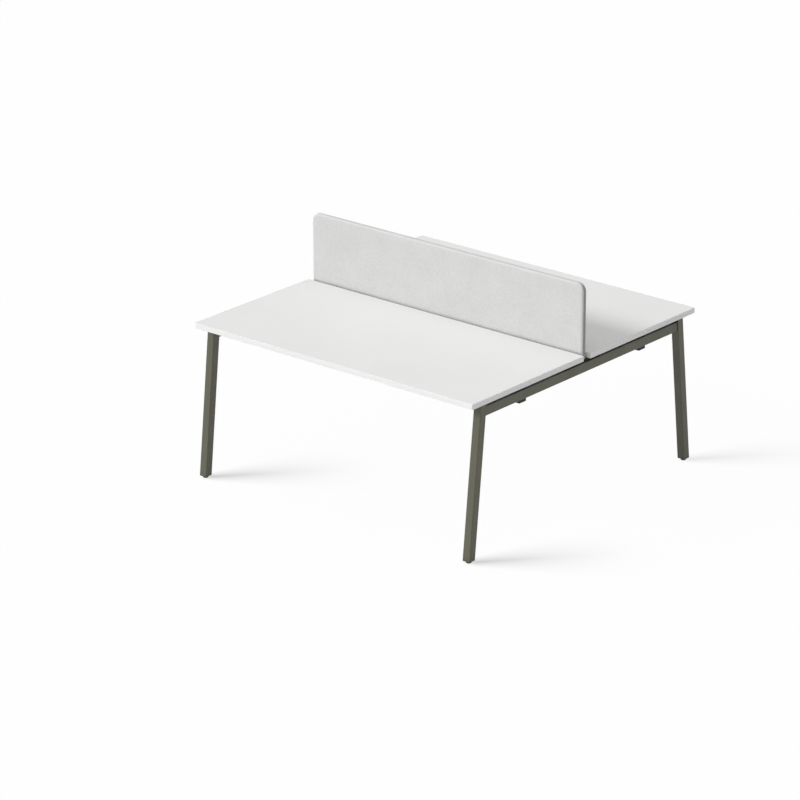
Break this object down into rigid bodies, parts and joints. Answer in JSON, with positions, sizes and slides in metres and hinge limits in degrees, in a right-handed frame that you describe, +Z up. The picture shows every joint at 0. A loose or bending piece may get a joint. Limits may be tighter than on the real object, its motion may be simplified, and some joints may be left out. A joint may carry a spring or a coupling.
{
  "type": "benching desk",
  "caption": "Back-to-back benching desk: facing worktops on leaning square-tube legs tied by end rails and beams, with a padded fabric screen between them and levelling feet.",
  "frame": {"origin": "on the floor, under the middle of the desk", "axes": "+X along the worktops' length, to the right for a person at the front side; +Y from the front side to the back side; +Z up"},
  "size_m": [1.6, 1.595, 1.065],
  "materials": {
    "worktop_laminate": "pale grey faced chipboard, satin",
    "worktop_edging": "pale grey edging strip, satin",
    "frame_paint": "olive grey powder coat, fine texture",
    "black_metal": "black powder coat",
    "black_plastic": "black moulded plastic",
    "zinc_steel": "zinc-plated steel",
    "screen_board": "raw board",
    "screen_aluminium": "mill-finish bar",
    "screen_fabric": "pale grey melange weave over thin padding"
  },
  "bodies": {
    "frame": {"front_worktop": "worktop_laminate", "front_worktop_edging": "worktop_edging", "front_beam": "black_metal", "back_worktop": "worktop_laminate", "back_worktop_edging": "worktop_edging", "back_beam": "black_metal", "left_end_rail": "frame_paint", "left_link_plate": "black_metal", "left_screen_bolt": "zinc_steel", "right_end_rail": "frame_paint", "right_link_plate": "black_metal", "right_screen_bolt": "zinc_steel", "front_left_leg": "frame_paint", "front_left_leg_cap": "black_plastic", "front_left_leg_plug": "black_plastic", "front_left_threaded_insert": "zinc_steel", "front_left_rail_spacer": "black_plastic", "front_left_beam_bracket": "black_metal", "front_left_bracket_bolt": "zinc_steel", "front_left_beam_screw": "zinc_steel", "front_left_plate_screw": "zinc_steel", "front_right_leg": "frame_paint", "front_right_leg_cap": "black_plastic", "front_right_leg_plug": "black_plastic", "front_right_threaded_insert": "zinc_steel", "front_right_rail_spacer": "black_plastic", "front_right_beam_bracket": "black_metal", "front_right_bracket_bolt": "zinc_steel", "front_right_beam_screw": "zinc_steel", "front_right_plate_screw": "zinc_steel", "back_left_leg": "frame_paint", "back_left_leg_cap": "black_plastic", "back_left_leg_plug": "black_plastic", "back_left_threaded_insert": "zinc_steel", "back_left_rail_spacer": "black_plastic", "back_left_beam_bracket": "black_metal", "back_left_bracket_bolt": "zinc_steel", "back_left_beam_screw": "zinc_steel", "back_left_plate_screw": "zinc_steel", "back_right_leg": "frame_paint", "back_right_leg_cap": "black_plastic", "back_right_leg_plug": "black_plastic", "back_right_threaded_insert": "zinc_steel", "back_right_rail_spacer": "black_plastic", "back_right_beam_bracket": "black_metal", "back_right_bracket_bolt": "zinc_steel", "back_right_beam_screw": "zinc_steel", "back_right_plate_screw": "zinc_steel", "screen_core": "screen_board", "screen_bottom_rail": "screen_aluminium", "screen_cover": "screen_fabric"},
    "front_left_foot": {"front_left_foot_pad": "black_plastic"},
    "front_left_stem": {"front_left_foot_stem": "black_metal"},
    "front_right_foot": {"front_right_foot_pad": "black_plastic"},
    "front_right_stem": {"front_right_foot_stem": "black_metal"},
    "back_left_foot": {"back_left_foot_pad": "black_plastic"},
    "back_left_stem": {"back_left_foot_stem": "black_metal"},
    "back_right_foot": {"back_right_foot_pad": "black_plastic"},
    "back_right_stem": {"back_right_foot_stem": "black_metal"}
  },
  "joints": [
    {"name": "front_left_foot_slide", "type": "slide", "parent": "frame", "child": "front_left_foot", "axis": [0, 0, -1], "range_m": [0, 0.012]},
    {"name": "front_left_stem_turn", "type": "hinge", "parent": "front_left_foot", "child": "front_left_stem", "pos_m": [-0.768, -0.77737, 0], "axis": [0, 0, -1], "range_deg": [0, 2880]},
    {"name": "front_right_foot_slide", "type": "slide", "parent": "frame", "child": "front_right_foot", "axis": [0, 0, -1], "range_m": [0, 0.012]},
    {"name": "front_right_stem_turn", "type": "hinge", "parent": "front_right_foot", "child": "front_right_stem", "pos_m": [0.768, -0.77737, 0], "axis": [0, 0, -1], "range_deg": [0, 2880]},
    {"name": "back_left_foot_slide", "type": "slide", "parent": "frame", "child": "back_left_foot", "axis": [0, 0, -1], "range_m": [0, 0.012]},
    {"name": "back_left_stem_turn", "type": "hinge", "parent": "back_left_foot", "child": "back_left_stem", "pos_m": [-0.768, 0.77737, 0], "axis": [0, 0, -1], "range_deg": [0, 2880]},
    {"name": "back_right_foot_slide", "type": "slide", "parent": "frame", "child": "back_right_foot", "axis": [0, 0, -1], "range_m": [0, 0.012]},
    {"name": "back_right_stem_turn", "type": "hinge", "parent": "back_right_foot", "child": "back_right_stem", "pos_m": [0.768, 0.77737, 0], "axis": [0, 0, -1], "range_deg": [0, 2880]}
  ],
  "couplings": [
    {"joint": "front_left_stem_turn", "follows": "front_left_foot_slide", "rad_per_m": 4188.8},
    {"joint": "front_right_stem_turn", "follows": "front_right_foot_slide", "rad_per_m": 4188.8},
    {"joint": "back_left_stem_turn", "follows": "back_left_foot_slide", "rad_per_m": 4188.8},
    {"joint": "back_right_stem_turn", "follows": "back_right_foot_slide", "rad_per_m": 4188.8}
  ]
}
